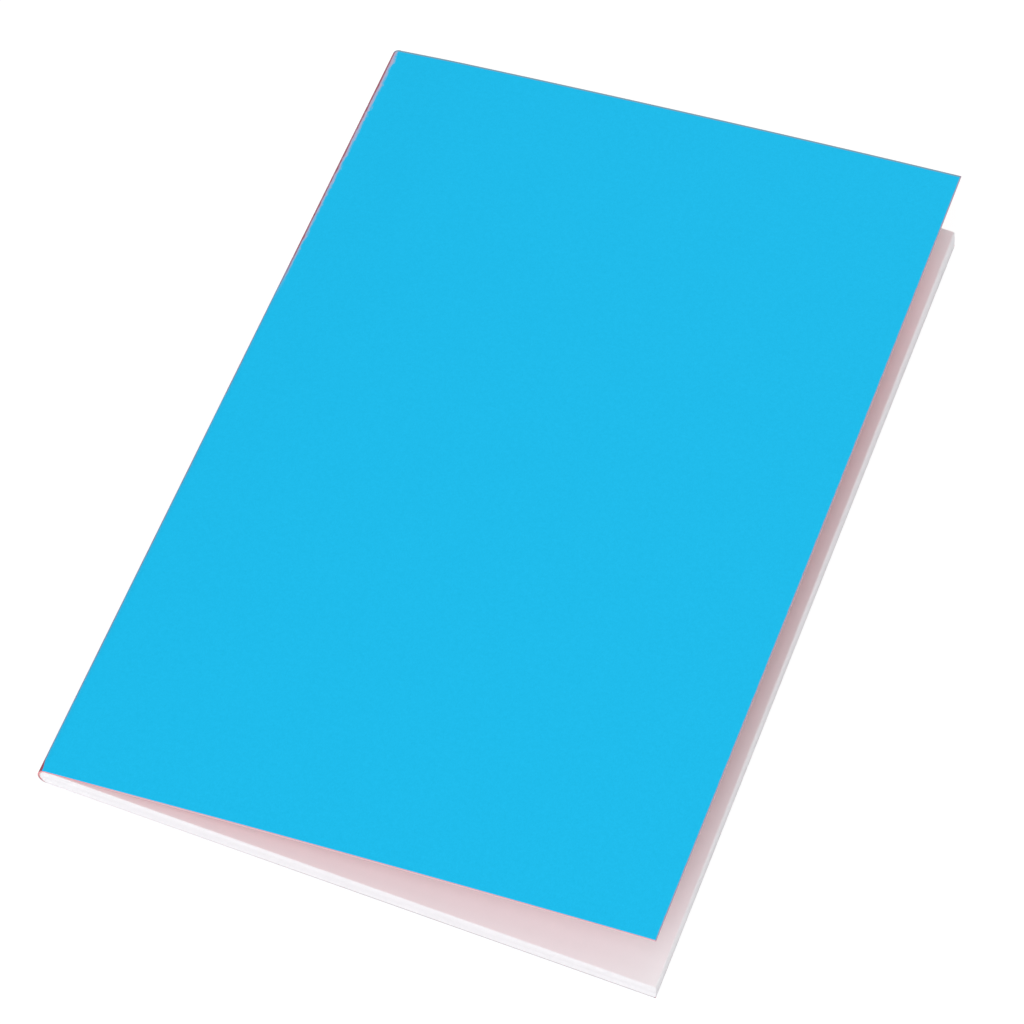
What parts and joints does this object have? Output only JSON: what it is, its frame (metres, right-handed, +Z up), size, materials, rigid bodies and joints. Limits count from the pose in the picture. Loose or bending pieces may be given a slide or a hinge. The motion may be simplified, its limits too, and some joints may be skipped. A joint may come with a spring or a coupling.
{
  "type": "notebook",
  "caption": "Slim soft-cover notebook: blank white leaves glued at a lightly rounded spine in one folded sheet of plain blue card, its front cover standing ajar.",
  "frame": {"origin": "on the underside of the back cover, half-way between the spine and the fore-edge and half-way along the spine", "axes": "+X from the spine to the fore-edge, +Y along the spine towards the head of the pages, +Z up out of the front cover"},
  "size_m": [0.14, 0.21, 0.0254],
  "materials": {
    "cover_card": "matte, outside cyan blue, inside and cut edges pale rose",
    "page_paper": "uncoated matte",
    "binding_glue": "dried hot-melt glue, satin"
  },
  "bodies": {
    "back_half": {"back_cover": "cover_card", "glue_back": "binding_glue", "leaf_21": "page_paper", "leaf_22": "page_paper", "leaf_23": "page_paper", "leaf_24": "page_paper", "leaf_25": "page_paper", "leaf_26": "page_paper", "leaf_27": "page_paper", "leaf_28": "page_paper", "leaf_29": "page_paper", "leaf_30": "page_paper", "leaf_31": "page_paper", "leaf_32": "page_paper", "leaf_33": "page_paper", "leaf_34": "page_paper", "leaf_35": "page_paper", "leaf_36": "page_paper", "leaf_37": "page_paper", "leaf_38": "page_paper", "leaf_39": "page_paper", "leaf_40": "page_paper"},
    "front_half": {"spine_front": "cover_card", "glue_front": "binding_glue", "leaf_01": "page_paper", "leaf_02": "page_paper", "leaf_03": "page_paper", "leaf_04": "page_paper", "leaf_05": "page_paper", "leaf_06": "page_paper", "leaf_07": "page_paper", "leaf_08": "page_paper", "leaf_09": "page_paper", "leaf_10": "page_paper", "leaf_11": "page_paper", "leaf_12": "page_paper", "leaf_13": "page_paper", "leaf_14": "page_paper", "leaf_15": "page_paper", "leaf_16": "page_paper", "leaf_17": "page_paper", "leaf_18": "page_paper", "leaf_19": "page_paper", "leaf_20": "page_paper"},
    "front_cover": {"front_cover": "cover_card"}
  },
  "joints": [
    {"name": "pages_turn", "type": "hinge", "parent": "back_half", "child": "front_half", "pos_m": [-0.07, 0, 0.00231], "axis": [0, -1, 0], "range_deg": [0, 176]},
    {"name": "front_cover_hinge", "type": "hinge", "parent": "front_half", "child": "front_cover", "pos_m": [-0.0678, 0, 0.00463], "axis": [0, -1, 0], "range_deg": [-8.1, 170]}
  ]
}
